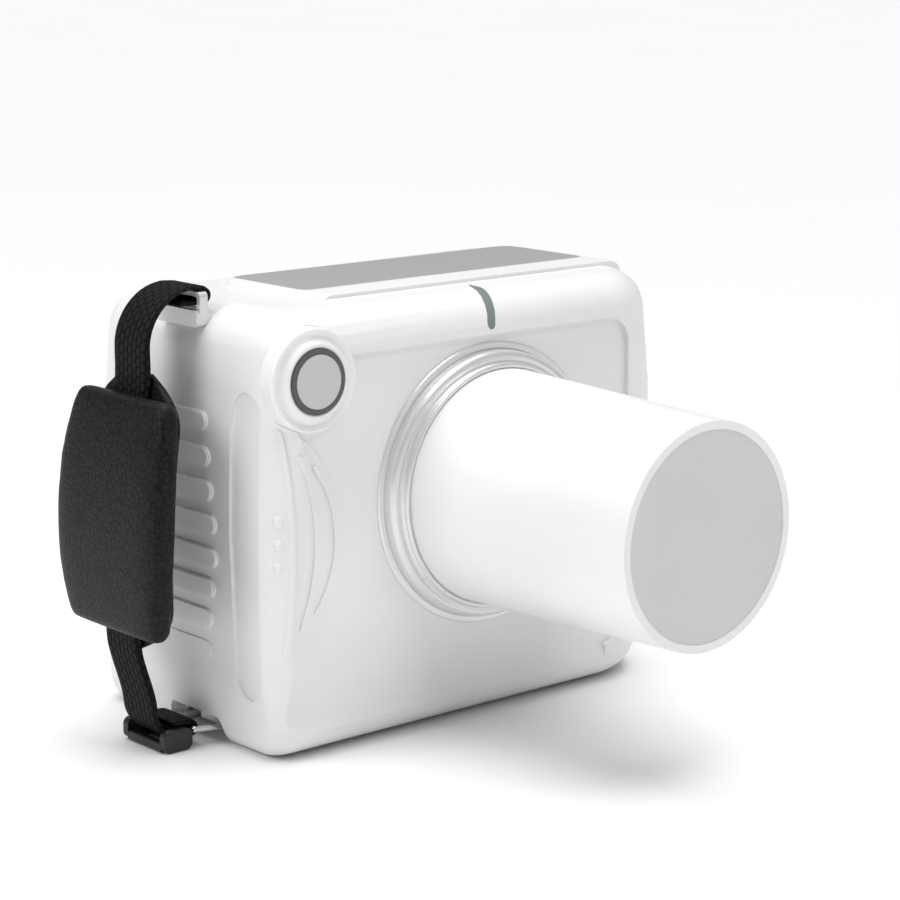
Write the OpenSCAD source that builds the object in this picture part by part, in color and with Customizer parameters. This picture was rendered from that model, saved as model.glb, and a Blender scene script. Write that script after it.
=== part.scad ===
/* [Housing] */
// half width of the housing at mid height
half_w = 81; // [78:0.5:84]
// how far the side walls lean in at the top and bottom
side_bow = 4.5; // [3:0.5:6]
// front rim plane of the housing
front_y = -48.5; // [-49:0.5:-48]
// back plane of the housing
back_y = 47; // [46:0.5:48]
// underside of the housing against the mouth of the tripod thread
base_z = -1.2; // [-1.3:0.1:-1.1]
// top of the housing shoulder
shoulder_z = 127; // [126.5:0.5:127.5]
// top of the raised deck around the display
deck_z = 128; // [127.6:0.1:128.4]
// parting plane between front and rear housing
split_y = -25.5; // [-26:0.5:-25]
// depth of the recessed front panel behind the rim
panel_depth = 2; // [1.5:0.1:2.5]

/* [Cone] */
// height of the beam axis above the floor
axis_z = 70; // [70:0.5:70]
// plane of the cone's open end
tip_y = -137.5; // [-150:0.5:-125]
// outer radius at the cone's open end
tip_r = 32.35; // [31.5:0.05:33]
// bore radius of the cone, the round radiation field
bore_r = 30; // [28:0.5:30]
// outer radius where the cone base meets the trim ring
base_r = 35.14; // [34.5:0.02:35.5]
// plane of the seam between cone and fixed base
seam_y = -69.5; // [-72:0.5:-68]
// outer radius of the trim ring
ring_r = 42.5; // [41:0.5:43.5]

/* [Exposure button] */
// sideways position of the exposure button
button_x = -66.5; // [-67:0.5:-66]
// height of the exposure button
button_z = 109; // [108:0.5:110]
// radius of the pressed cap
cap_r = 7.7; // [7.5:0.1:7.8]
// how far the exposure button presses in
button_travel = 1.2; // [0.8:0.1:1.2]

/* [Hand strap] */
// width of the strap webbing
web_w = 16; // [14:0.5:16]
// thickness of the strap webbing
web_t = 1.5; // [1.2:0.1:1.6]
// middle of the strap along the depth of the unit
strap_y = -1; // [-2:0.5:0]
// radius of the long bow of the strap
bow_r = 300; // [300:10:300]
// height of the pad along the strap
pad_h = 66; // [60:1:70]
// diameter of the steel wire of the lower ring
wire_d = 1.8; // [1.6:0.1:2]

/* [Base] */
// diameter of the tripod thread
tripod_d = 6.35; // [6.35:0.01:6.35]
// depth of the tripod thread
tripod_l = 9; // [8:0.5:10]

/* [Hidden] */
$fn = 96;
mid_z = 64;
panel_y = front_y + panel_depth;
inner_front = panel_y + 3;
inner_back = back_y - 3;
corner_r = 14;
bow_cx = 199.3;
bow_cz = 47.6;
lower_y = -6;
light_y = -36;
light_z = 114.5;
ring_x = -86.2;
ring_z = 3.6;
hinge_x = -70.5;
hinge_z = 2.2;
ring_half_out = 9.4;
ring_half_in = 10.6;
clip_ys = [lower_y - 8.4, lower_y + 8.4];
foot_xs = [-58, 50];
foot_z = -1.7;
power_x = 48;
power_z = 100;
socket_x = 48;
socket_z = 20;
tank_y0 = -20;
tank_y1 = 32;

// half width of the housing at height z
function side_x(z) = half_w - side_bow * pow((z - mid_z) / 63, 2);

// 2D outline (x, z) carried along Y from y0 to y1
module along_y(y0, y1) {
    translate([0, y1, 0]) rotate([90, 0, 0]) linear_extrude(y1 - y0) children();
}

// 2D outline (y, z) carried along X from x0 to x1
module along_x(x0, x1) {
    translate([x0, 0, 0]) rotate([90, 0, 90]) linear_extrude(x1 - x0) children();
}

// 2D outline (x, y) carried up from z0 to z1
module along_z(z0, z1) {
    translate([0, 0, z0]) linear_extrude(z1 - z0) children();
}

// tube or disc with its axis along Y
module ring_y(x, z, y0, y1, ro, ri) {
    along_y(y0, y1) translate([x, z]) difference() {
        circle(r = ro);
        if (ri > 0) circle(r = ri);
    }
}

// outline (radius, -y) turned around a line along Y
module turn_y(x, z) {
    translate([x, 0, z]) rotate([90, 0, 0]) rotate_extrude() children();
}

module bar(x0, y0, z0, x1, y1, z1) {
    translate([x0, y0, z0]) cube([x1 - x0, y1 - y0, z1 - z0]);
}

// rectangle with round corners from (a0, b0) to (a1, b1)
module round_rect(a0, b0, a1, b1, r) {
    translate([a0 + r, b0]) square([a1 - a0 - 2 * r, b1 - b0]);
    translate([a0, b0 + r]) square([a1 - a0, b1 - b0 - 2 * r]);
    for (a = [a0 + r, a1 - r])
        for (b = [b0 + r, b1 - r])
            translate([a, b]) circle(r = r);
}

// levels of one corner, from a straight wall into a rounded edge, as
// [height, half width, plan radius, setback]
function edge_marks(z, up, w, r, inset, fillet) =
    [for (t = [0:15:90]) let (k = 1 - cos(t))
        [z + up * fillet * sin(t), w - inset * k, max(r - min(inset, fillet) * k, 3), fillet * k]];

function wall_marks(r) = [for (z = [36, mid_z, 92]) [z, side_x(z), r, 0]];

left_front = concat(edge_marks(base_z + 10.8, -1, 79.3, 8, 4, 10.8), wall_marks(corner_r),
    edge_marks(shoulder_z - 13, 1, 78.2, 13, 13, 13));
right_front = concat(edge_marks(base_z + 10.8, -1, 77, 28, 10.8, 10.8), wall_marks(26),
    edge_marks(shoulder_z - 12, 1, 78.2, 27, 12, 12));
left_back = concat(edge_marks(base_z + 8, -1, 79.3, 12, 4, 8), wall_marks(15),
    edge_marks(shoulder_z - 13.5, 1, 78.2, 15, 12, 12));
right_back = concat(edge_marks(base_z + 10, -1, 77, 15, 10, 10), wall_marks(15),
    edge_marks(shoulder_z - 12.5, 1, 78.2, 15, 12, 12));

// points of one corner; sx and sy give the side, y is the face, g the growth
function corner_points(marks, sx, sy, y, g) =
    [for (m = marks) for (t = [0:7.5:90])
        [sx * (m[1] - m[2] + (m[2] + g) * cos(t)),
         y - sy * (m[3] + m[2]) + sy * (m[2] + g) * sin(t), m[0]]];

module hull_of(points) {
    hull() polyhedron(points = points, faces = [[for (i = [0:len(points) - 1]) i]]);
}

// outer form of the housing
module form() {
    hull_of(concat(corner_points(left_front, -1, -1, front_y, 0),
        corner_points(right_front, 1, -1, front_y, 0),
        corner_points(left_back, -1, 1, back_y, 0),
        corner_points(right_back, 1, 1, back_y, 0)));
}

// left front corner column of the form, grown by g
module corner_form(g) {
    hull_of(concat(corner_points(left_front, -1, -1, front_y, g),
        [for (z = [10, 114]) for (y = [front_y - g, front_y + 30]) [-50, y, z]],
        [for (z = [36, mid_z, 92]) [-side_x(z) - g, front_y + 30, z]]));
}

// space inside the housing walls, with tighter corners on the left
module cavity_step(z0, z1, half, y0, y1, r) {
    along_z(z0, z1) intersection() {
        round_rect(-half, y0, half + 40, y1, r);
        round_rect(-half - 40, y0, half, y1, r + 7);
    }
}

module cavity() {
    cavity_step(14, 110, 75.5, inner_front, inner_back, 11);
    cavity_step(7, 118, 71.5, inner_front + 1, inner_back - 3, 9);
    cavity_step(3.6, 123.8, 66, inner_front + 5, inner_back - 10, 6);
}

// stepped leaf shapes of the left hand grip
module grip_steps() {
    ring_y(-93.5, 63.9, -47.1, -40, 37.3, 0);
    ring_y(-131.2, 63.4, -47.8, -40, 67.3, 0);
    ring_y(-293.4, 62.6, front_y - 3, -40, 222.4, 0);
}

// volume taken out in front of the recessed panel
module recess() {
    difference() {
        union() {
            along_y(front_y - 20, panel_y) round_rect(-100, 11, 56.6, 115, 9);
            along_x(-74.6, 48)
                polygon([[front_y - 20, 5.9], [front_y, 5.9], [panel_y, 11], [panel_y, 21],
                    [front_y - 20, 21]]);
            along_x(-100, -70)
                polygon([[front_y - 20, 5.9], [front_y, 5.9], [panel_y, 11], [panel_y, 21],
                    [front_y - 20, 21]]);
        }
        grip_steps();
    }
}

// one leaf-shaped rib, part of a circle
module leaf_rib(x, z, r, z0, z1, y0) {
    intersection() {
        ring_y(x, z, y0, -44, r + 0.5, r - 0.5);
        bar(x, y0 - 1, z0, 0, -40, z1);
    }
}

module screw_posts(y0, y1, r) {
    for (s = [-1, 1])
        for (z = [26, 92])
            ring_y(s * 67.5, z, s < 0 ? y0 : max(y0, -41.5), y1, r, 0);
}

module front_shell() {
    color([0.93, 0.93, 0.93]) {
        difference() {
            union() {
                difference() {
                    form();
                    recess();
                    cavity();
                }
                ring_y(0, axis_z, inner_front - 0.5, inner_front + 3, 42, 0);
                leaf_rib(-92.5, 62.7, 34.1, 41.6, 84.4, -47.8);
                leaf_rib(-126.3, 63.3, 60.3, 37.7, 88, -48.5);
                intersection() {
                    leaf_rib(-291.2, 61.7, 217.6, 30, 95.3, -52);
                    corner_form(0.6);
                }
                for (z = [56.1, 62.7, 69.4])
                    translate([-76.1, -44.2, z]) sphere(r = 1.8);
                screw_posts(inner_front - 1, split_y, 4.5);
            }
            bar(-100, split_y, -10, 100, 60, 140);
            // shallow upright groove in the left corner band
            difference() {
                along_x(-90, -75) round_rect(-39.6, 15, -27.2, 105, 6.19);
                corner_form(-0.8);
            }
            // seats for the round parts
            ring_y(0, axis_z, -60, inner_front + 0.5, 39.1, 0);
            ring_y(0, axis_z, -60, 0, 33.1, 0);
            ring_y(button_x, button_z, -80, -43.5, 15, 0);
            ring_y(button_x, button_z, -60, -30, 10.5, 0);
            intersection() {
                light_outline();
                light_zone(9.8, 20);
            }
            screw_posts(-41, split_y + 1, 1.3);
        }
    }
}

// crescent of the status light, carried through the top front edge at 45 degrees
module light_outline() {
    rotate([45, 0, 0]) translate([0, 0, 95]) linear_extrude(30) {
        polygon([[-1.4, 49.6], [-0.8, 51.6], [-0.2, 53.6], [0.7, 57.4], [1.6, 60.6], [3, 63.9],
            [4.7, 66.5], [6.6, 68.5], [6.1, 65.5], [5, 61.5], [3.9, 57.4], [2.8, 53.4], [1.5, 49.6]]);
        translate([0.05, 49.6]) circle(r = 1.45);
    }
}

// zone of the light between an inner and an outer radius of the edge
module light_zone(r0, r1) {
    along_x(-5, 10)
        difference() {
            union() {
                translate([light_y, light_z]) circle(r = r1);
                translate([light_y, light_z]) square([9, r1]);
                translate([light_y - r1, light_z - 5]) square([r1, 5]);
            }
            translate([light_y, light_z]) circle(r = r0);
            translate([light_y, light_z - 10]) square([10, 10 + r0]);
            translate([light_y - r0, light_z - 10]) square([r0 + 10, 10]);
        }
}

module status_light() {
    color([0.5, 0.62, 0.55])
        intersection() {
            light_outline();
            light_zone(9.8, 12.6);
        }
}

module light_board() {
    color([0.1, 0.4, 0.2]) {
        bar(-6, -34.5, 111, 8, -33.3, 123.6);
        bar(-1, -35.3, 117, 3, -34.5, 120);
    }
}

module rear_shell() {
    color([0.93, 0.93, 0.93])
        difference() {
            union() {
                difference() {
                    union() {
                        form();
                        deck();
                        side_ribs();
                    }
                    cavity();
                }
                screw_posts(split_y, inner_back + 1, 4.5);
                for (s = [-1, 1])
                    for (y = [-14, 30])
                        translate([s * 44, y, 2]) cylinder(r = 4, h = 4.9);
                // ledge under the display
                along_z(119, 124.5) difference() {
                    round_rect(-46, -16, 72.6, 27, 6);
                    round_rect(-37, -8, 66.6, 20, 4);
                }
            }
            bar(-100, -80, -10, 100, split_y, 140);
            along_z(deck_z - 1.6, 140) display_outline(0.06);
            along_z(deck_z - 6.5, 140) round_rect(-38.1, -8.6, 67.6, 21.1, 3);
            // strap hardware
            lug_foot(0.05);
            along_x(-90, -75.1) round_rect(strap_y - 9.9, 120.4, strap_y + 9.9, 128, 1.4);
            along_x(-100, -73.5)
                polygon([[lower_y - 14.2, base_z - 2], [lower_y - 12.8, 4.4], [lower_y - 11.4, 6.2],
                    [lower_y + 11.4, 6.2], [lower_y + 12.8, 4.4], [lower_y + 14.2, base_z - 2]]);
            along_x(-100, -62.5)
                polygon([[lower_y - 14.2, base_z - 2], [lower_y - 11.8, 3.6], [lower_y - 10.4, 5.4],
                    [lower_y + 10.4, 5.4], [lower_y + 11.8, 3.6], [lower_y + 14.2, base_z - 2]]);
            for (y = clip_ys)
                translate([-66.4, y, 0]) cylinder(r = 1, h = 9);
            // underside
            translate([0, 0, base_z - 2]) cylinder(r = 9.1, h = 2 - base_z + 2);
            translate([0, 0, 0]) cylinder(r = 7.05, h = 12);
            for (x = foot_xs)
                for (y = [-18, 34])
                    translate([x, y, base_z - 2]) cylinder(r = 6.1, h = foot_z + 2.05 - base_z + 2);
            // back face
            screw_posts(split_y - 1, back_y + 5, 1.3);
            screw_posts(back_y - 1.6, back_y + 5, 2.9);
            ring_y(power_x, power_z, 0, 60, 6.2, 0);
            ring_y(power_x, power_z, back_y - 0.7, 60, 8.5, 0);
            along_y(40, 60) round_rect(socket_x - 5.6, socket_z - 3.1, socket_x + 5.6, socket_z + 3.1, 3);
            for (i = [0:6])
                along_y(30, 60) round_rect(-58.9 + i * 4, 18, -57.1 + i * 4, 30, 0.89);
        }
}

// raised deck round the display, with a soft top edge
module deck() {
    x0 = -47;
    x1 = 75.7;
    hull()
        for (x = [x0 + 12, x1 - 12])
            for (y = [-21, 17])
                for (t = [0:15:90])
                    translate([x, y, 118]) cylinder(r = 7.8 + 4.2 * cos(t), h = deck_z - 122.2 + 4.2 * sin(t), $fn = 64);
}

// eight moulded grip ribs behind the hand
module side_ribs() {
    heights = [26.5, 36.1, 45.5, 54.8, 64.6, 74.2, 84.1, 94.1];
    ends = [-16.6, -17.6, -19.3, -21.3, -21.3, -19.5, -17.9, -16.3];
    for (i = [0:7]) {
        out = side_x(heights[i]);
        along_x(-out - 0.5, -out + 2) round_rect(ends[i], heights[i] - 2.9, 26, heights[i] + 2.9, 2.89);
        along_x(-out - 0.9, -out) round_rect(ends[i] + 0.4, heights[i] - 2.5, 25.6, heights[i] + 2.5, 2.49);
    }
}

// points along an arc, as (radius, -y) pairs
function arc_points(c, r, a0, a1, n) =
    [for (i = [0:n]) let (a = a0 + (a1 - a0) * i / n) [c[0] + r * cos(a), c[1] + r * sin(a)]];

module trim_ring() {
    outer_bead = arc_points([38.4, 49], 1.8, -10, 100, 10);
    hollow = arc_points([37.6, 52.4], 1.2, -70, -150, 6);
    inner_bead = arc_points([36.1, 52.3], 0.9, 40, 180, 8);
    color([0.85, 0.86, 0.87])
        turn_y(0, axis_z)
            polygon(concat([[35.2 + 0.06, 45], [39, 45], [39, -panel_y], [ring_r, -panel_y],
                [ring_r, 46.9], [ring_r - 0.4, 47.2], [40.7, 47.3], [40.3, 47.1]],
                outer_bead, hollow, inner_bead));
}

module cone_wall(y0, y1, g) {
    slope = (base_r - tip_r) / 84.2;
    r0 = tip_r + slope * (y0 - tip_y) + g;
    r1 = tip_r + slope * (y1 - tip_y) + g;
    translate([0, y1, axis_z]) rotate([90, 0, 0]) cylinder(r1 = r1, r2 = r0, h = y1 - y0);
}

module cone_base() {
    color([0.94, 0.94, 0.94])
        difference() {
            union() {
                cone_wall(seam_y, -53.3, 0);
                ring_y(0, axis_z, -53.3, -45, 35.2, 0);
                ring_y(0, axis_z, -45, -43.05, 39, 0);
                ring_y(0, axis_z, -45, -38.5, 33, 0);
                ring_y(0, axis_z, -82, seam_y, 32, 0);
            }
            ring_y(0, axis_z, -90, -30, 29.9, 0);
            // click groove for the removable cone
            turn_y(0, axis_z) translate([32.35, 78]) circle(r = 0.6);
        }
}

module position_cone() {
    color([0.95, 0.95, 0.95])
        difference() {
            cone_wall(tip_y, seam_y, 0);
            ring_y(0, axis_z, tip_y - 1, seam_y + 1, 30, 0);
            ring_y(0, axis_z, -82.3, seam_y + 1, 32.05, 0);
        }
}

module cone_liner() {
    color([0.45, 0.46, 0.48])
        ring_y(0, axis_z, tip_y + 1.6, -82.5, 30, 29);
}

module cone_window() {
    color([0.82, 0.82, 0.82])
        ring_y(0, axis_z, tip_y + 0.3, tip_y + 1.6, 29.98, 0);
}

module button_bezel() {
    color([0.95, 0.95, 0.95])
        turn_y(button_x, button_z)
            polygon([[9.5, 40.2], [10.4, 40.2], [10.4, 43.5], [14.9, 43.5], [14.9, 48.3], [14.6, 48.9],
                [14.1, 49.1], [13.6, 48.9], [12.6, 48.4], [11.6, 49.1], [10.6, 50.4], [10, 50.6],
                [9.5, 50.4]]);
}

module button_light_ring() {
    color([0.3, 0.3, 0.31])
        difference() {
            ring_y(button_x, button_z, -50.9, -46.2, 9.48, cap_r + 0.1);
            ring_y(button_x, button_z, -60, -50.7, 20, 9.3);
        }
}

module exposure_button() {
    color([0.79, 0.79, 0.79]) {
        ring_y(button_x, button_z, -51.1, -45, cap_r, 0);
        ring_y(button_x, button_z, -46, -45, 8.6, 0);
        ring_y(button_x, button_z, -45, -41.4, 1.6, 0);
    }
}

module button_dome() {
    color([0.35, 0.35, 0.36])
        turn_y(button_x, button_z)
            polygon([[2.2, 44.98], [3.4, 44.98], [4.6, 42.4], [6.6, 42.4], [6.6, 39.7], [5.6, 39.7],
                [5.6, 41.6], [4, 41.6]]);
}

module exposure_switch() {
    color([0.2, 0.2, 0.22]) {
        bar(button_x - 3.2, -39.9, button_z - 3.2, button_x + 3.2, -36.6, button_z + 3.2);
        ring_y(button_x, button_z, -40.2, -39.8, 1.7, 0);
    }
}

module button_board() {
    color([0.1, 0.4, 0.2])
        difference() {
            union() {
                bar(button_x - 7, -36.6, button_z - 9, button_x + 7, -35, button_z + 8);
                ring_y(button_x, button_z, -39.7, -36.6, 6.6, 5.6);
            }
            bar(-90, -50, 116.8, -40, -20, 130);
        }
}

module display_outline(g) {
    round_rect(-42 - g, -12.6 - g, 71.3 + g, 24.5 + g, 3.4 + g);
}

module display_cover() {
    color([0.7, 0.7, 0.7])
        along_z(deck_z - 1.6, deck_z - 0.05) display_outline(0);
}

module display_module() {
    color([0.15, 0.15, 0.17]) {
        along_z(deck_z - 6.5, deck_z - 1.6) round_rect(-38, -8.5, 67.5, 21, 2.9);
        bar(-30, -5, deck_z - 9, 60, 17, deck_z - 6.5);
    }
}

module main_board() {
    color([0.1, 0.4, 0.2]) {
        bar(-56, -18, 108, 60, 30, 109.6);
        bar(-50, -10, 109.6, -30, 10, 112);
        bar(-16, -12, 109.6, 2, 6, 111.5);
        bar(-22, 4, 109.6, -6, 16, 119);
    }
}

// rectangular strap loop on the left shoulder
module strap_lug() {
    color([0.86, 0.87, 0.88])
        difference() {
            union() {
                along_x(-78, -75.2) round_rect(strap_y - 9.8, 120.5, strap_y + 9.8, 130.6, 1.4);
                lug_foot(0);
            }
            along_x(-90, -60) round_rect(strap_y - 8.3, 125.9, strap_y + 8.3, 129.2, 0.8);
        }
}

module lug_foot(g) {
    along_x(-79.2 - g, -73.8 + g)
        round_rect(strap_y - 9.8 - g, 120.6 - g, strap_y + 9.8 + g, 125.4 + g, 1.2);
}

module lug_plate() {
    color([0.6, 0.6, 0.62])
        difference() {
            bar(-71.4, strap_y - 8, 106, -69.6, strap_y + 8, 116);
            along_x(-80, -60) translate([strap_y, 111]) circle(r = 1.5);
        }
}

// points (x, z) along an arc
function arc_path(c, r, a0, a1, n) =
    [for (i = [0:n]) let (a = a0 + (a1 - a0) * i / n) [c[0] + r * cos(a), c[1] + r * sin(a)]];

// unit normal of a path at point i
function path_normal(p, i) =
    let (a = p[max(i - 1, 0)], b = p[min(i + 1, len(p) - 1)], d = b - a)
    [-d[1], d[0]] / norm(d);

// webbing that follows a path of (x, z) points
module web_along(p, y = strap_y) {
    last = len(p) - 1;
    one_side = [for (i = [0:last]) p[i] + path_normal(p, i) * web_t / 2];
    far_side = [for (i = [0:last]) p[last - i] - path_normal(p, last - i) * web_t / 2];
    along_y(y - web_w / 2, y + web_w / 2)
        polygon(concat(one_side, far_side));
}

module strap_webbing() {
    color([0.08, 0.08, 0.08])
        web_along(concat(
            arc_path([bow_cx, bow_cz], bow_r, 184, 168.6, 14),
            arc_path([-77.9, 114.9], 17, 176, 96, 12),
            arc_path([-75.4, 129.4], 2.05, 90, -90, 8),
            [[-78.5, 127.35], [-83.5, 127.5]]));
}

// ring sector around the long bow, used for the pad
module bow_ring(r0, r1, y0, y1, a0, a1) {
    translate([bow_cx, y1, bow_cz]) rotate([90, 0, 0]) rotate([0, 0, a0])
        rotate_extrude(angle = a1 - a0, $fn = 256) translate([r0, 0]) square([r1 - r0, y1 - y0]);
}

module strap_pad() {
    half = pad_h / bow_r * 90 / PI;
    mid = 176;
    color([0.1, 0.1, 0.1])
        difference() {
            intersection() {
                bow_ring(bow_r - 1.2, bow_r + 8.6, -30, 23, mid - half, mid + half);
                // barrel outline seen from the side
                along_x(-120, -80) intersection() {
                    translate([118, 66]) circle(r = 148);
                    translate([-125, 66]) circle(r = 148);
                }
                // rounded plan of the padded cover
                along_z(0, 140) round_rect(-113, -29.5, -80, 22.5, 7);
            }
            bow_ring(bow_r - 2, bow_r + web_t / 2 + 0.35, strap_y - 8.4, strap_y + 8.4, 167, 185);
        }
}

module strap_tongue() {
    half = (pad_h + 16) / bow_r * 90 / PI;
    mid = 176;
    color([0.09, 0.09, 0.09])
        intersection() {
            bow_ring(bow_r - 3.4, bow_r - 1.25, -26, 20, mid - half, mid + half);
            along_x(-120, -80) {
                translate([-2.5, 62 - 24]) circle(r = 20);
                translate([-2.5, 62 + 24]) circle(r = 20);
                translate([-22.5, 62 - 24]) square([40, 48]);
            }
        }
}

module strap_lower() {
    color([0.08, 0.08, 0.08])
        web_along(arc_path([bow_cx, bow_cz], bow_r, 184.1, 186.5, 4), (strap_y + lower_y) / 2);
}

module strap_loop() {
    color([0.08, 0.08, 0.08])
        web_along(concat(
            arc_path([-88.9, 11.2], 9.5, 187.4, 268, 10),
            arc_path([ring_x, ring_z], 1.9, -90, 90, 8),
            [[-89, ring_z + 2], [-92.6, ring_z + 2.1]]), lower_y);
}

// bar of the slider along Y, with round edges
module slider_bar(x0, z0, x1, z1) {
    along_y(lower_y - 8.4, lower_y + 8.4) round_rect(x0, z0, x1, z1, 0.55);
}

module strap_slider() {
    color([0.12, 0.12, 0.12]) {
        for (s = [-1, 1])
            along_y(lower_y + s * 9.4 - 1.2, lower_y + s * 9.4 + 1.2)
                round_rect(-97.6, -1.4, -87.7, 4.9, 2);
        slider_bar(-97.5, -1.4, -94.9, 1.4);
        slider_bar(-90.4, -1.4, -87.9, 0.4);
        slider_bar(-92.6, 3.5, -90.2, 4.75);
    }
}

module rod(a, b, r) {
    d = b - a;
    reach = norm(d);
    translate(a) rotate([0, acos(d[2] / reach), atan2(d[1], d[0])]) cylinder(r = r, h = reach);
}

module d_ring() {
    r = wire_d / 2;
    corners = [[hinge_x, lower_y - ring_half_in, hinge_z], [hinge_x, lower_y + ring_half_in, hinge_z],
        [ring_x, lower_y + ring_half_out, ring_z], [ring_x, lower_y - ring_half_out, ring_z]];
    color([0.8, 0.81, 0.82]) {
        for (i = [0:3])
            rod(corners[i], corners[(i + 1) % 4], r);
        for (i = [0:3])
            translate(corners[i]) rotate([0, 0, 90 * i - 45]) sphere(r = r * 1.12);
    }
}

module ring_clip() {
    color([0.62, 0.63, 0.65])
        difference() {
            union() {
                bar(-72.4, lower_y - 6.6, 0.6, -64, lower_y + 6.6, 5.3);
                bar(-72.4, lower_y - 10.2, 4.2, -64, lower_y + 10.2, 5.3);
            }
            ring_y(hinge_x, hinge_z, -30, 30, wire_d / 2 + 0.05, 0);
            for (y = clip_ys)
                translate([-66.4, y, 0]) cylinder(r = 1.1, h = 10);
        }
}

module clip_screws() {
    color([0.5, 0.5, 0.52])
        for (y = clip_ys)
            translate([-66.4, y, 0]) {
                translate([0, 0, 3.2]) cylinder(r = 1.7, h = 1);
                translate([0, 0, 3.7]) cylinder(r = 1, h = 4.8);
            }
}

module foot_pads() {
    color([0.25, 0.25, 0.26])
        for (x = foot_xs)
            for (y = [-18, 34])
                translate([x, y, foot_z]) cylinder(r = 6, h = 2);
}

module tripod_insert() {
    color([0.7, 0.66, 0.5])
        difference() {
            union() {
                cylinder(r = 9, h = 2);
                translate([0, 0, 1]) cylinder(r = 7, h = 10.4);
            }
            translate([0, 0, -1]) cylinder(r = tripod_d / 2, h = tripod_l + 1.4);
        }
}

module housing_screws() {
    color([0.55, 0.55, 0.57])
        for (s = [-1, 1])
            for (z = [26, 92]) {
                ring_y(s * 67.5, z, back_y - 1.6, back_y - 0.2, 2.8, 0);
                ring_y(s * 67.5, z, -40, back_y - 1.6, 1.25, 0);
            }
}

module power_button() {
    color([0.3, 0.31, 0.32]) {
        ring_y(power_x, power_z, inner_back + 0.3, back_y + 0.9, 6, 0);
        ring_y(power_x, power_z, inner_back - 1.2, inner_back - 0.1, 7.4, 0);
        ring_y(power_x, power_z, inner_back - 0.1, inner_back + 0.31, 6, 0);
        ring_y(power_x, power_z, inner_back - 4, inner_back - 1.2, 1.4, 0);
    }
}

module power_dome() {
    color([0.35, 0.35, 0.36])
        turn_y(power_x, power_z)
            polygon([[2, -42.78], [3, -42.78], [4.2, -40], [5.6, -40], [5.6, -38.6], [3.4, -38.6]]);
}

module power_switch() {
    color([0.1, 0.4, 0.2]) {
        bar(power_x - 8, 34.9, power_z - 8, power_x + 8, 36.4, power_z + 8);
        bar(power_x - 2.8, 36.4, power_z - 2.8, power_x + 2.8, 38.6, power_z + 2.8);
        ring_y(power_x, power_z, 36.4, 38.6, 6, 5);
    }
}

module charge_socket() {
    color([0.3, 0.3, 0.32])
        difference() {
            along_y(36, 46.6)
                round_rect(socket_x - 5.5, socket_z - 3, socket_x + 5.5, socket_z + 3, 2.9);
            along_y(38, 50)
                round_rect(socket_x - 4.5, socket_z - 1.3, socket_x + 4.5, socket_z + 1.3, 1.29);
            bar(socket_x - 10, 30, socket_z - 10, socket_x + 10, 37, socket_z - 2.4);
        }
}

// folded metal frame that carries the inner parts
module chassis() {
    color([0.72, 0.73, 0.74])
        difference() {
            union() {
                bar(-60, -22, 12, 62, 35, 13.5);
                bar(-40, -22, 12, -38.6, 35, 108);
                bar(38.6, -22, 12, 40, 35, 108);
                for (s = [-1, 1])
                    for (y = [-14, 30])
                        translate([s * 44, y, 6.9]) cylinder(r = 4, h = 5.2);
            }
            for (s = [-1, 1])
                for (y = [-14, 30])
                    translate([s * 44, y, 6]) cylinder(r = 1.4, h = 10);
            for (z = [30, 50, 70, 90])
                along_x(-50, 50) round_rect(-14, z - 5, 27, z + 5, 4.9);
        }
}

module tube_tank() {
    color([0.66, 0.68, 0.7])
        difference() {
            union() {
                along_y(tank_y0, tank_y1) round_rect(-38.5, 36, 38.5, 104, 8);
                ring_y(0, axis_z, tank_y0 - 6, tank_y0 + 1, 16, 0);
            }
            along_y(tank_y0 + 3, tank_y1 + 1) round_rect(-35.5, 39, 35.5, 101, 6);
            ring_y(0, axis_z, tank_y0 - 10, tank_y0 + 5, 8, 0);
            bar(-50, tank_y0 - 1, 30, 50, tank_y1 + 1, 37);
        }
}

module tank_lid() {
    color([0.6, 0.62, 0.64])
        along_y(tank_y1, tank_y1 + 3) round_rect(-38.5, 37, 38.5, 104, 8);
}

module tube_envelope() {
    color([0.75, 0.85, 0.88, 0.6])
        translate([0, 8, axis_z]) rotate([0, 90, 0]) {
            difference() {
                union() {
                    translate([0, 0, -26]) cylinder(r = 15, h = 52);
                    translate([0, 0, -35.5]) cylinder(r = 6, h = 71);
                }
                translate([0, 0, -24]) cylinder(r = 13.5, h = 48);
                translate([0, 0, -40]) cylinder(r = 4.5, h = 80);
            }
        }
}

module tube_anode() {
    color([0.72, 0.45, 0.3])
        translate([0, 8, axis_z]) difference() {
            rotate([0, 90, 0]) {
                translate([0, 0, 2]) cylinder(r = 7, h = 22);
                translate([0, 0, 10]) cylinder(r = 4.45, h = 25.3);
            }
            translate([3.5, 0, 0]) rotate([0, 0, 20]) translate([-20, -20, -20]) cube([20, 40, 40]);
        }
}

module tube_cathode() {
    color([0.6, 0.6, 0.62])
        translate([0, 8, axis_z]) rotate([0, -90, 0]) difference() {
            union() {
                translate([0, 0, 12]) cylinder(r = 6, h = 12);
                translate([0, 0, 20]) cylinder(r = 4.45, h = 15.3);
            }
            translate([-3, -1, 11]) cube([6, 2, 3]);
        }
}

module beam_collimator() {
    color([0.4, 0.41, 0.43])
        difference() {
            ring_y(0, axis_z, -36.5, tank_y0 - 6, 28, 0);
            ring_y(0, axis_z, -60, 0, 7, 0);
            ring_y(0, axis_z, -50, -33, 17, 0);
        }
}

module beam_filter() {
    color([0.8, 0.81, 0.82])
        ring_y(0, axis_z, tank_y0 - 6, tank_y0 - 4, 7.98, 0);
}

module hv_module() {
    color([0.25, 0.25, 0.28]) {
        bar(-38.5, -16, 13.5, -6, 30, 35);
        bar(-4, -14, 13.5, 16, 28, 30);
    }
}

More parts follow.
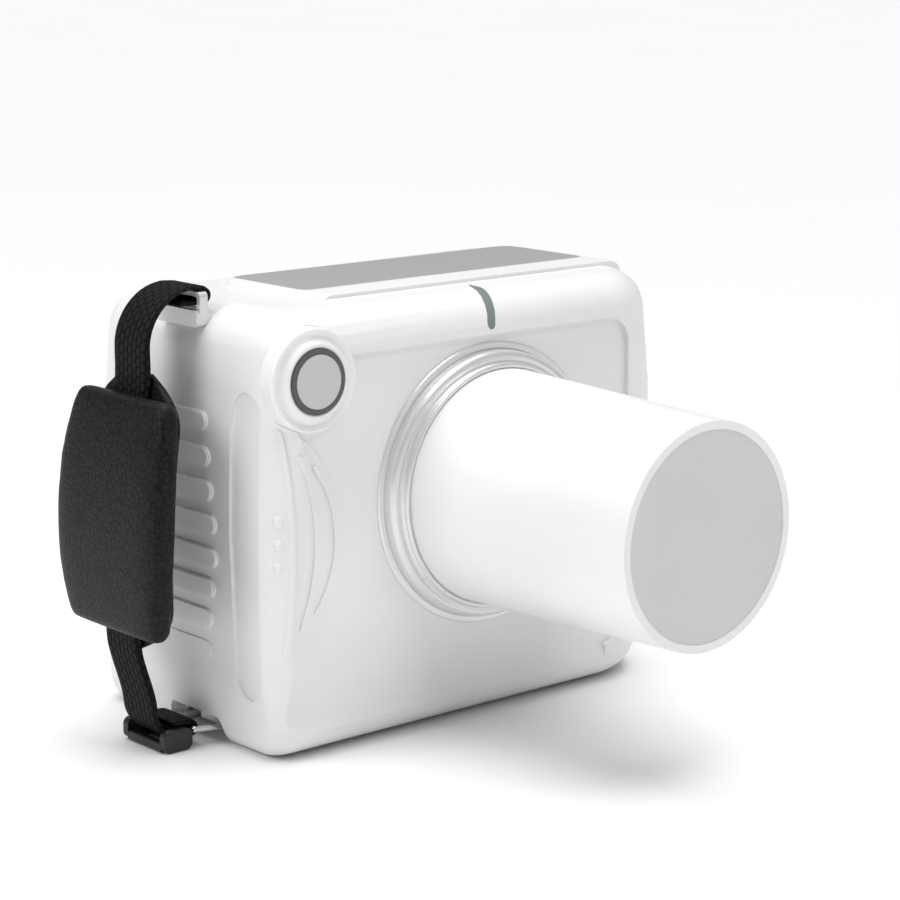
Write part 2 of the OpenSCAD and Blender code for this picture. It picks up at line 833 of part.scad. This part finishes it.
module battery_pack() {
    color([0.2, 0.35, 0.6]) {
        along_z(13.5, 72) round_rect(42, -20, 60, 33, 2);
        bar(46, -12, 72, 56, 8, 76);
    }
}

module speaker() {
    color([0.15, 0.15, 0.16]) {
        bar(-60, 20, 13.5, -42, 22.5, 34);
        ring_y(-51, 24, 22.5, 30, 8, 0);
        ring_y(-51, 24, 30, 35, 9, 7);
    }
}

front_shell();
rear_shell();
trim_ring();
cone_base();
position_cone();
cone_liner();
cone_window();
button_bezel();
button_light_ring();
exposure_button();
button_dome();
exposure_switch();
button_board();
status_light();
light_board();
display_cover();
display_module();
main_board();
strap_lug();
lug_plate();
strap_webbing();
strap_pad();
strap_tongue();
strap_lower();
strap_loop();
strap_slider();
d_ring();
ring_clip();
clip_screws();
foot_pads();
tripod_insert();
housing_screws();
power_button();
power_dome();
power_switch();
charge_socket();
chassis();
tube_tank();
tank_lid();
tube_envelope();
tube_anode();
tube_cathode();
beam_collimator();
beam_filter();
hv_module();
battery_pack();
speaker();
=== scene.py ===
import math

import bmesh
import bpy
from mathutils import Matrix, Vector


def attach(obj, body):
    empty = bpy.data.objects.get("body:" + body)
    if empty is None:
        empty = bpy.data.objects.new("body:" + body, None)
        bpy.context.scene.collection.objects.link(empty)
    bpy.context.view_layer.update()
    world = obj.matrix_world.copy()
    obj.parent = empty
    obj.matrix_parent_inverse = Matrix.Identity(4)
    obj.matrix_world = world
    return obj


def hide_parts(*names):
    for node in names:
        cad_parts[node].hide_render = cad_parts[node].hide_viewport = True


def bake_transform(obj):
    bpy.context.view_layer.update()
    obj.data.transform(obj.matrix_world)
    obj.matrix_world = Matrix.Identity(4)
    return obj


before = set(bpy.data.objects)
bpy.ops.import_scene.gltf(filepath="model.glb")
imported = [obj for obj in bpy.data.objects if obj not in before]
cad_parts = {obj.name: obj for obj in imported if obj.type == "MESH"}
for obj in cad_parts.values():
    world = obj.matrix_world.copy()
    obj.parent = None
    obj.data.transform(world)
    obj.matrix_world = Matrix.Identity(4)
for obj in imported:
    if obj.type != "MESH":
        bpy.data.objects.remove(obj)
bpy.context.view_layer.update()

MM = 0.001
scene = bpy.context.scene


# ---------------------------------------------------------------- node helpers
def new_material(name):
    mat = bpy.data.materials.new(name)
    mat.use_nodes = True
    tree = mat.node_tree
    shader = tree.nodes["Principled BSDF"]
    return mat, tree, shader


def add(tree, kind, **values):
    node = tree.nodes.new(kind)
    for key, value in values.items():
        if hasattr(node, key):
            setattr(node, key, value)
        else:
            node.inputs[key.replace("_", " ")].default_value = value
    return node


def link(tree, a, out, b, into):
    tree.links.new(a.outputs[out], b.inputs[into])


def math_node(tree, op, a, b=None):
    node = add(tree, "ShaderNodeMath", operation=op)
    for slot, value in ((0, a), (1, b)):
        if value is None:
            continue
        if isinstance(value, (int, float)):
            node.inputs[slot].default_value = value
        else:
            tree.links.new(value, node.inputs[slot])
    return node.outputs[0]


def ramp(tree, source, stops):
    node = add(tree, "ShaderNodeValToRGB")
    tree.links.new(source, node.inputs[0])
    items = node.color_ramp.elements
    while len(items) < len(stops):
        items.new(0.5)
    for item, (place, colour) in zip(items, stops):
        item.position = place
        item.color = (*colour, 1)
    return node.outputs[0]


def moulded(name, colour, rough, grain=0.15, spread=0.02, metallic=0.0, coat=0.0, scale=900.0, bump=0.06):
    """Moulded plastic or painted metal: faint mottling, fine orange-peel bump and uneven gloss."""
    mat, tree, shader = new_material(name)
    where = add(tree, "ShaderNodeTexCoord")
    broad = add(tree, "ShaderNodeTexNoise", Scale=35.0, Detail=3.0, Roughness=0.6)
    fine = add(tree, "ShaderNodeTexNoise", Scale=scale, Detail=4.0, Roughness=0.55)
    for tex in (broad, fine):
        link(tree, where, "Object", tex, "Vector")
    dark = tuple(max(0.0, c * (1 - spread)) for c in colour)
    light = tuple(min(1.0, c * (1 + spread)) for c in colour)
    tree.links.new(ramp(tree, broad.outputs["Fac"], [(0.3, dark), (0.7, light)]), shader.inputs["Base Color"])
    gloss = math_node(tree, "MULTIPLY_ADD", fine.outputs["Fac"], grain)
    gloss.node.inputs[2].default_value = rough - grain / 2
    tree.links.new(gloss, shader.inputs["Roughness"])
    relief = add(tree, "ShaderNodeBump", Strength=bump, Distance=0.0002)
    link(tree, fine, "Fac", relief, "Height")
    link(tree, relief, "Normal", shader, "Normal")
    shader.inputs["Metallic"].default_value = metallic
    shader.inputs["Coat Weight"].default_value = coat
    shader.inputs["Coat Roughness"].default_value = 0.25
    return mat


def leather(name, cell, crease_shade, cell_scale=500.0):
    """Pebbled leather: small raised cells with painted shade darkening the creases between them, and a soft sheen."""
    mat, tree, shader = new_material(name)
    where = add(tree, "ShaderNodeTexCoord")
    warp = add(tree, "ShaderNodeTexNoise", Scale=260.0, Detail=2.0)
    link(tree, where, "Object", warp, "Vector")
    mixed = add(tree, "ShaderNodeMix", data_type="VECTOR")
    mixed.inputs["Factor"].default_value = 0.0009
    link(tree, where, "Object", mixed, 4)
    link(tree, warp, "Color", mixed, 5)
    cells = add(tree, "ShaderNodeTexVoronoi", Scale=cell_scale, feature="DISTANCE_TO_EDGE")
    tree.links.new(mixed.outputs[1], cells.inputs["Vector"])
    tone = add(tree, "ShaderNodeTexVoronoi", Scale=cell_scale)
    tree.links.new(mixed.outputs[1], tone.inputs["Vector"])
    fine = add(tree, "ShaderNodeTexNoise", Scale=2600.0, Detail=3.0)
    link(tree, where, "Object", fine, "Vector")
    # painted shade: the colour darkens from the cells into the creases between them
    grain_and_crease_shade = ramp(tree, cells.outputs["Distance"], [(0.03, crease_shade), (0.14, cell)])
    vary = add(tree, "ShaderNodeMix", data_type="RGBA", blend_type="MULTIPLY")
    vary.inputs[0].default_value = 0.35
    tree.links.new(grain_and_crease_shade, vary.inputs[6])
    link(tree, tone, "Color", vary, 7)
    tree.links.new(vary.outputs[2], shader.inputs["Base Color"])
    height = math_node(tree, "MINIMUM", cells.outputs["Distance"], 0.2)
    height = math_node(tree, "MULTIPLY", height, 4.0)
    grain = math_node(tree, "MULTIPLY", fine.outputs["Fac"], 0.25)
    total = math_node(tree, "ADD", height, grain)
    relief = add(tree, "ShaderNodeBump", Strength=0.3, Distance=0.00025)
    tree.links.new(total, relief.inputs["Height"])
    link(tree, relief, "Normal", shader, "Normal")
    rough = math_node(tree, "MULTIPLY_ADD", fine.outputs["Fac"], 0.2)
    rough.node.inputs[2].default_value = 0.36
    tree.links.new(rough, shader.inputs["Roughness"])
    shader.inputs["Specular IOR Level"].default_value = 0.16
    return mat


def woven(name, low, high):
    """Braided webbing: staggered oval picks along UV (length, width) in millimetres, with a painted highlight on their
    crowns and painted shade in the gaps between them.
    """
    mat, tree, shader = new_material(name)
    uv = add(tree, "ShaderNodeUVMap")
    split = add(tree, "ShaderNodeSeparateXYZ")
    tree.links.new(uv.outputs["UV"], split.inputs[0])
    across = math_node(tree, "DIVIDE", split.outputs["Y"], 2.1)
    row = math_node(tree, "FLOOR", across)
    odd = math_node(tree, "MODULO", row, 2.0)
    half = math_node(tree, "MULTIPLY", odd, 0.5)
    along = math_node(tree, "DIVIDE", split.outputs["X"], 3.0)
    along = math_node(tree, "ADD", along, half)
    bulge_a = math_node(tree, "ABSOLUTE", math_node(tree, "SINE", math_node(tree, "MULTIPLY", across, math.pi)))
    bulge_b = math_node(tree, "ABSOLUTE", math_node(tree, "SINE", math_node(tree, "MULTIPLY", along, math.pi)))
    bulge = math_node(tree, "MULTIPLY", math_node(tree, "POWER", bulge_a, 0.6), math_node(tree, "POWER", bulge_b, 0.5))
    thread = add(tree, "ShaderNodeTexNoise", Scale=6.0, Detail=3.0)
    link(tree, uv, "UV", thread, "Vector")
    total = math_node(tree, "ADD", bulge, math_node(tree, "MULTIPLY", thread.outputs["Fac"], 0.25))
    # painted light and shade: the crowns of the picks take the light colour and the gaps the dark one, with some thread
    # noise
    tree.links.new(ramp(tree, total, [(0.45, low), (1.05, high)]), shader.inputs["Base Color"])
    relief = add(tree, "ShaderNodeBump", Strength=0.8, Distance=0.0004)
    tree.links.new(total, relief.inputs["Height"])
    link(tree, relief, "Normal", shader, "Normal")
    shader.inputs["Roughness"].default_value = 0.62
    shader.inputs["Specular IOR Level"].default_value = 0.1
    return mat


# ---------------------------------------------------------------- mesh helpers
def mesh_object(name, bm, mat, smooth=True):
    bmesh.ops.recalc_face_normals(bm, faces=bm.faces)
    mesh = bpy.data.meshes.new(name)
    bm.to_mesh(mesh)
    bm.free()
    mesh.materials.append(mat)
    for face in mesh.polygons:
        face.use_smooth = smooth
    obj = bpy.data.objects.new(name, mesh)
    scene.collection.objects.link(obj)
    return obj


def arc(cx, cz, r, a0, a1, n):
    return [(cx + r * math.cos(math.radians(a0 + (a1 - a0) * i / n)),
             cz + r * math.sin(math.radians(a0 + (a1 - a0) * i / n))) for i in range(n + 1)]


def smooth_path(points, rounds=2):
    """Corner cutting, which keeps both ends."""
    for _ in range(rounds):
        cut = [points[0]]
        for a, b in zip(points, points[1:]):
            cut.append((a[0] * 0.75 + b[0] * 0.25, a[1] * 0.75 + b[1] * 0.25))
            cut.append((a[0] * 0.25 + b[0] * 0.75, a[1] * 0.25 + b[1] * 0.75))
        cut.append(points[-1])
        points = cut
    return points


def resample(points, step):
    out, carry = [points[0]], 0.0
    for a, b in zip(points, points[1:]):
        span = math.dist(a, b)
        while carry + span >= step:
            t = (step - carry) / span
            a = (a[0] + (b[0] - a[0]) * t, a[1] + (b[1] - a[1]) * t)
            out.append(a)
            span = math.dist(a, b)
            carry = 0.0
        carry += span
    out.append(points[-1])
    return out


def ease(value, low, high):
    """0 at low, 1 at high, with soft ends."""
    t = min(1.0, max(0.0, (value - low) / (high - low)))
    return t * t * (3 - 2 * t)


def webbing(name, path, width, thick, swell, mat):
    """Flat woven band along a path of (x, z) points in mm, with rounded selvedges and UV in mm.

    It runs forward below the pad, and swell makes its free lengths thicker."""
    path = resample(path, 0.8)
    half_w, half_t = width / 2, thick / 2
    steps = 12
    selvedge = 0.8
    thinning = 0.55
    ring = [-half_w + width * i / steps for i in range(steps + 1)]
    ring = [(y, half_t * (1 - max(0, abs(y) - (half_w - selvedge)) / selvedge * thinning)) for y in ring]
    section = [(y, h) for y, h in ring] + [(y, -h) for y, h in reversed(ring)]
    bm = bmesh.new()
    layer = bm.loops.layers.uv.new("UVMap")
    rows, lengths, total = [], [], 0.0
    for i, p in enumerate(path):
        a, b = path[max(i - 1, 0)], path[min(i + 1, len(path) - 1)]
        n = Vector((-(b[1] - a[1]), b[0] - a[0])).normalized()
        if i:
            total += math.dist(path[i - 1], p)
        lengths.append(total)
        y_mid = STRAP_TOP_Y + (STRAP_LOW_Y - STRAP_TOP_Y) * (1 - ease(p[1], 12, 30))
        fat = 1 + swell * ease(p[1], 8, 20) * (1 - ease(p[1], 112, 124))
        rows.append([bm.verts.new(((p[0] + n.x * h * fat) * MM, (y_mid + y) * MM, (p[1] + n.y * h * fat) * MM))
                     for y, h in section])
    count = len(section)
    across = []
    run = 0.0
    for j in range(count + 1):
        across.append(run)
        a, b = section[j % count], section[(j + 1) % count]
        run += math.dist(a, b)
    for i in range(len(rows) - 1):
        for j in range(count):
            k = (j + 1) % count
            face = bm.faces.new((rows[i][j], rows[i][k], rows[i + 1][k], rows[i + 1][j]))
            for loop, (u, v) in zip(face.loops, ((lengths[i], across[j]), (lengths[i], across[j + 1]),
                                                 (lengths[i + 1], across[j + 1]), (lengths[i + 1], across[j]))):
                loop[layer].uv = (u, v)
    bm.faces.new(rows[0])
    bm.faces.new(list(reversed(rows[-1])))
    return mesh_object(name, bm, mat)


# ---------------------------------------------------------------- camera
AZ, EL = math.radians(-40.706), math.radians(11.94)
back = Vector((math.sin(AZ) * math.cos(EL), -math.cos(AZ) * math.cos(EL), math.sin(EL)))
right = Vector((math.cos(AZ), math.sin(AZ), 0))
up = back.cross(right)
cam_data = bpy.data.cameras.new("Camera")
cam_data.lens = 104.16
cam_data.sensor_width = 36
cam_data.clip_start = 0.01
camera = bpy.data.objects.new("Camera", cam_data)
turn = Matrix((right, up, back)).transposed().to_4x4()
camera.matrix_world = Matrix.Translation((-0.5027, -0.6137, 0.2401)) @ turn
scene.collection.objects.link(camera)
scene.camera = camera


# ---------------------------------------------------------------- materials of the hard parts
HOUSING = moulded("housing_white", (0.86, 0.86, 0.86), 0.42, coat=0.15)
CONE = moulded("cone_white", (0.9, 0.9, 0.9), 0.34, coat=0.25, bump=0.03)
RING = moulded("ring_silver", (0.8, 0.8, 0.81), 0.3, grain=0.06, metallic=0.45, coat=0.15, bump=0.02)
MATERIALS = {
    "front_shell": HOUSING, "rear_shell": HOUSING, "cone_base": CONE, "position_cone": CONE,
    "button_bezel": CONE, "trim_ring": RING,
    "cone_window": moulded("window_grey", (0.68, 0.68, 0.68), 0.6, bump=0.03),
    "button_light_ring": moulded("ring_dark", (0.09, 0.09, 0.095), 0.35),
    "exposure_button": moulded("button_grey", (0.6, 0.6, 0.6), 0.5),
    "status_light": moulded("light_green", (0.2, 0.25, 0.22), 0.22, coat=0.6),
    "display_cover": moulded("display_grey", (0.385, 0.385, 0.385), 0.38, coat=0.15),
    "strap_lug": moulded("lug_silver", (0.72, 0.73, 0.74), 0.3, metallic=0.35),
    "foot_pads": moulded("foot_rubber", (0.05, 0.05, 0.05), 0.8),
    "tripod_insert": moulded("brass", (0.6, 0.5, 0.28), 0.3, metallic=1.0, scale=500),
    "power_button": moulded("power_grey", (0.12, 0.12, 0.125), 0.45),
    "charge_socket": moulded("socket_black", (0.03, 0.03, 0.032), 0.4),
    "d_ring": moulded("wire_chrome", (0.75, 0.76, 0.78), 0.12, grain=0.05, metallic=1.0),
    "strap_slider": moulded("buckle_black", (0.012, 0.012, 0.012), 0.38),
    "cone_liner": moulded("lead", (0.22, 0.23, 0.25), 0.55, metallic=0.7),
    "beam_collimator": moulded("lead_block", (0.2, 0.21, 0.23), 0.6, metallic=0.7),
    "tube_envelope": moulded("glass_tint", (0.6, 0.72, 0.75), 0.08, coat=0.8),
    "tube_anode": moulded("copper", (0.62, 0.3, 0.18), 0.3, metallic=1.0),
    "battery_pack": moulded("battery_sleeve", (0.05, 0.1, 0.3), 0.3, coat=0.4),
}
STEEL = moulded("steel", (0.5, 0.51, 0.53), 0.32, metallic=1.0, scale=1500)
BOARD = moulded("circuit_board", (0.02, 0.14, 0.06), 0.45)
SOOT = moulded("inner_dark", (0.05, 0.05, 0.055), 0.5)
ALLOY = moulded("inner_alloy", (0.6, 0.61, 0.63), 0.42, metallic=0.9)
SILICONE = moulded("silicone", (0.1, 0.1, 0.105), 0.6)
for node in ("ring_clip", "clip_screws", "housing_screws", "lug_plate", "tube_cathode"):
    MATERIALS[node] = STEEL
for node in ("button_board", "light_board", "main_board", "power_switch"):
    MATERIALS[node] = BOARD
for node in ("exposure_switch", "display_module", "hv_module", "speaker"):
    MATERIALS[node] = SOOT
for node in ("chassis", "tube_tank", "tank_lid", "beam_filter"):
    MATERIALS[node] = ALLOY
for node in ("button_dome", "power_dome"):
    MATERIALS[node] = SILICONE
for node, mat in MATERIALS.items():
    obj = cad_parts[node]
    obj.data.materials.clear()
    obj.data.materials.append(mat)


# ---------------------------------------------------------------- soft edges of the mouldings
def soften(obj, angle):
    """Shade the fillets of a moulding as one smooth surface, with edges sharper than the angle kept crisp."""
    tree = bpy.data.node_groups.new("soften_" + obj.name, "GeometryNodeTree")
    tree.interface.new_socket("Geometry", in_out="INPUT", socket_type="NodeSocketGeometry")
    tree.interface.new_socket("Geometry", in_out="OUTPUT", socket_type="NodeSocketGeometry")
    start, finish = tree.nodes.new("NodeGroupInput"), tree.nodes.new("NodeGroupOutput")
    drop = tree.nodes.new("GeometryNodeRemoveAttribute")
    drop.inputs["Name"].default_value = "custom_normal"
    weld = tree.nodes.new("GeometryNodeMergeByDistance")
    weld.inputs["Distance"].default_value = 1e-6
    bend = tree.nodes.new("GeometryNodeInputMeshEdgeAngle")
    flat = tree.nodes.new("FunctionNodeCompare")
    flat.operation = "LESS_THAN"
    flat.inputs["B"].default_value = math.radians(angle)
    faces = tree.nodes.new("GeometryNodeSetShadeSmooth")
    edges = tree.nodes.new("GeometryNodeSetShadeSmooth")
    faces.domain, edges.domain = "FACE", "EDGE"
    link(tree, start, 0, drop, 0)
    link(tree, drop, 0, weld, 0)
    link(tree, weld, 0, faces, 0)
    link(tree, faces, 0, edges, 0)
    link(tree, bend, "Unsigned Angle", flat, 0)
    for socket in edges.inputs:
        if socket.name in ("Shade Smooth", "Smooth"):
            tree.links.new(flat.outputs[0], socket)
    link(tree, edges, 0, finish, 0)
    obj.modifiers.new("Soften", "NODES").node_group = tree


for node in ("front_shell", "rear_shell"):
    soften(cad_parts[node], angle=24)


# ---------------------------------------------------------------- strap webbing
# first colour: painted shade in the gaps between the picks; second: painted highlight on their crowns
WEB = woven("webbing_black", (0.002, 0.002, 0.002), (0.014, 0.014, 0.014))
# centre x, centre z and radius of the strap's bow, mm
BOW = (199.3, 47.6, 300.0)
RING_X, RING_Z = -86.2, 3.6
STRAP_TOP_Y, STRAP_LOW_Y = -1.0, -6.0
path = [(-83.5, 127.5), (-78.5, 127.35)] + arc(-75.4, 129.4, 2.05, -90, 90, 10)
path += arc(-77.9, 114.9, 17, 96, 176, 16) + arc(*BOW, 168.6, 184, 24)
path += arc(-88.9, 11.2, 9.5, 187.4, 268, 14) + arc(RING_X, RING_Z, 1.9, -90, 90, 8)
path += [(-89, RING_Z + 2), (-92.5, RING_Z + 2.1)]
strap = webbing("strap_band", smooth_path(path, 1), width=16.6, thick=1.45, swell=0.6, mat=WEB)
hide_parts("strap_webbing", "strap_lower", "strap_loop")
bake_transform(strap)


# ---------------------------------------------------------------- leather pad and its liner
# second colour: painted shade for the creases between the cells
LEATHER = leather("pad_leather", (0.014, 0.014, 0.014), (0.004, 0.004, 0.004))


def bow_point(angle, r, y):
    a = math.radians(angle)
    return Vector(((BOW[0] + r * math.cos(a)) * MM, y * MM, (BOW[1] + r * math.sin(a)) * MM))


def pad_mesh(name, mid, half_len, y0, y1, r_in, thick, mat):
    """Padded cover that follows the strap's bow: barrel outline, crowned face and soft corners."""
    bm = bmesh.new()
    rows = []
    n_len, n_side = 48, 40
    for i in range(n_len + 1):
        s = -1 + 2 * i / n_len
        ang = mid - math.degrees(half_len / BOW[2]) * s
        wide = 1 - 0.16 * abs(s) ** 2.4
        deep = thick * (1 - 0.22 * s * s)
        end = max(0.0, (abs(s) - 0.955) / 0.045)
        tuck = math.sqrt(max(0.0, 1 - end * end))
        yc, yh = (y0 + y1) / 2, (y1 - y0) / 2 * wide
        row = []
        for j in range(n_side):
            t = 2 * math.pi * j / n_side
            c, q = math.cos(t), math.sin(t)
            yy = math.copysign(abs(c) ** 0.32, c)
            hh = math.copysign(abs(q) ** 0.42, q)
            crown = 1 + 0.06 * (1 - yy * yy)
            y = yc + yh * yy * (1 - 0.05 * (1 - tuck))
            r = BOW[2] + r_in + deep / 2 + deep / 2 * hh * (crown if hh > 0 else 1) * (0.55 + 0.45 * tuck)
            row.append(bm.verts.new(bow_point(ang, r, y)))
        rows.append(row)
    for i in range(n_len):
        for j in range(n_side):
            k = (j + 1) % n_side
            bm.faces.new((rows[i][j], rows[i][k], rows[i + 1][k], rows[i + 1][j]))
    bm.faces.new(rows[0])
    bm.faces.new(list(reversed(rows[-1])))
    return mesh_object(name, bm, mat)


def swell_pad(obj, voxel, pressure, frames, cap):
    """Remesh a padded cover and blow it up a little as cloth, held where it lies on the strap."""
    remesh = obj.modifiers.new("Remesh", "REMESH")
    remesh.mode = "VOXEL"
    remesh.voxel_size = voxel
    bake(obj)
    rest = [v.co.copy() for v in obj.data.vertices]
    held = obj.vertex_groups.new(name="held")
    centre = Vector((BOW[0] * MM, 0, BOW[1] * MM))
    for i, co in enumerate(rest):
        r = (Vector((co.x, 0, co.z)) - centre).length / MM - BOW[2]
        held.add([i], 1 - ease(r, 0.5, 3.5), "REPLACE")
    cloth = obj.modifiers.new("Cloth", "CLOTH")
    settings = cloth.settings
    settings.vertex_group_mass = held.name
    settings.use_pressure = True
    settings.uniform_pressure_force = pressure
    settings.effector_weights.gravity = 0
    settings.quality = 6
    for frame_no in range(1, frames + 1):
        scene.frame_set(frame_no)
    bake(obj)
    scene.frame_set(1)
    for vert, start in zip(obj.data.vertices, rest):
        move = vert.co - start
        if move.length > cap:
            vert.co = start + move * (cap / move.length)
    obj.vertex_groups.clear()
    subdivide = obj.modifiers.new("Subdivision", "SUBSURF")
    subdivide.levels = subdivide.render_levels = 1
    bake(obj)
    for face in obj.data.polygons:
        face.use_smooth = True


def bake(obj):
    """Apply every modifier to the mesh."""
    graph = bpy.context.evaluated_depsgraph_get()
    mesh = bpy.data.meshes.new_from_object(obj.evaluated_get(graph), preserve_all_data_layers=True, depsgraph=graph)
    obj.modifiers.clear()
    obj.data = mesh


def tongue_mesh(name, mid, half_len, y0, y1, r0, r1, mat):
    """Leather liner under the pad, with a rounded tab at each end."""
    bm = bmesh.new()
    n_len, n_wide = 44, 14
    faces = []
    sheets = []
    for r, grow in ((r0, 0.0), ((r0 + r1) / 2, 0.35), (r1, 0.0)):
        sheet = []
        for i in range(n_len + 1):
            s = -1 + 2 * i / n_len
            ang = mid - math.degrees(half_len / BOW[2]) * s
            past = max(0.0, (abs(s) - 0.62) / 0.38)
            half = (y1 - y0) / 2 * (1 - past ** 2.2 * 0.72) + grow
            yc = (y0 + y1) / 2 + past * past * 2
            sheet.append([bm.verts.new(bow_point(ang, BOW[2] + r, yc + half * (-1 + 2 * j / n_wide)))
                          for j in range(n_wide + 1)])
        sheets.append(sheet)
    low, mid_sheet, high = sheets
    for i in range(n_len):
        for j in range(n_wide):
            bm.faces.new((low[i][j], low[i][j + 1], low[i + 1][j + 1], low[i + 1][j]))
            bm.faces.new((high[i][j], high[i + 1][j], high[i + 1][j + 1], high[i][j + 1]))
    rim = [(i, 0) for i in range(n_len)] + [(n_len, j) for j in range(n_wide)]
    rim += [(i, n_wide) for i in range(n_len, 0, -1)] + [(0, j) for j in range(n_wide, 0, -1)]
    for (i, j), (k, m) in zip(rim, rim[1:] + rim[:1]):
        bm.faces.new((low[i][j], low[k][m], mid_sheet[k][m], mid_sheet[i][j]))
        bm.faces.new((mid_sheet[i][j], mid_sheet[k][m], high[k][m], high[i][j]))
    for sheet_row in mid_sheet[1:-1]:
        for vert in sheet_row[1:-1]:
            bm.verts.remove(vert)
    return mesh_object(name, bm, mat)


pad = pad_mesh("pad_cover", mid=176, half_len=34, y0=-29.5, y1=22.5, r_in=-1.0, thick=9.4, mat=LEATHER)
swell_pad(pad, voxel=0.0016, pressure=3.0, frames=16, cap=0.0014)
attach(pad, "pad")
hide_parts("strap_pad")
tongue = tongue_mesh("pad_liner", mid=176, half_len=40.5, y0=-22.5, y1=17.5, r0=-3.3, r1=-1.3, mat=LEATHER)
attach(tongue, "pad")
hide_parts("strap_tongue")


# ---------------------------------------------------------------- stage and light
floor_mat, floor_tree, floor_shader = new_material("floor_white")
where = add(floor_tree, "ShaderNodeTexCoord")
dust = add(floor_tree, "ShaderNodeTexNoise", Scale=4.0, Detail=2.0)
link(floor_tree, where, "Object", dust, "Vector")
floor_tree.links.new(ramp(floor_tree, dust.outputs["Fac"], [(0.3, (0.93, 0.93, 0.93)), (0.7, (0.94, 0.94, 0.94))]),
                     floor_shader.inputs["Base Color"])
floor_shader.inputs["Roughness"].default_value = 0.9
floor_shader.inputs["Specular IOR Level"].default_value = 0.1
# just under the feet, m
FOOT_Z = -0.00175
bm = bmesh.new()
bmesh.ops.create_circle(bm, cap_ends=True, segments=64, radius=6.0)
floor = mesh_object("floor", bm, floor_mat, smooth=False)
floor.location = (0, 0, FOOT_Z)

world = bpy.data.worlds.new("World")
scene.world = world
world.use_nodes = True
tree = world.node_tree
soft = tree.nodes["Background"]
soft.inputs["Color"].default_value = (1, 1, 1, 1)
soft.inputs["Strength"].default_value = 0.27
seen = add(tree, "ShaderNodeBackground", Strength=1.1)
rays = add(tree, "ShaderNodeLightPath")
either = add(tree, "ShaderNodeMixShader")
link(tree, rays, "Is Camera Ray", either, 0)
link(tree, soft, "Background", either, 1)
link(tree, seen, "Background", either, 2)
link(tree, either, "Shader", tree.nodes["World Output"], "Surface")
seen.inputs["Color"].default_value = (1, 1, 1, 1)
scene.view_settings.view_transform = "Standard"


def area_light(name, place, target, size, power):
    data = bpy.data.lights.new(name, "AREA")
    data.shape = "RECTANGLE"
    data.size, data.size_y = size
    data.energy = power
    lamp = bpy.data.objects.new(name, data)
    lamp.location = place
    lamp.rotation_euler = (Vector(target) - Vector(place)).to_track_quat("-Z", "Y").to_euler()
    lamp.visible_camera = False
    scene.collection.objects.link(lamp)


area_light("key", (0.0, -0.3, 0.42), (0.02, -0.045, 0.1), (0.25, 0.12), 0.34)
area_light("side", (-0.7, 0.1, 0.55), (-0.08, 0, 0.07), (0.4, 0.4), 2.0)
sun = bpy.data.objects.new("overhead", bpy.data.lights.new("overhead", "SUN"))
sun.data.energy = 2.46
sun.data.angle = math.radians(55)
sun.rotation_euler = (math.radians(-6), math.radians(4), 0)
scene.collection.objects.link(sun)
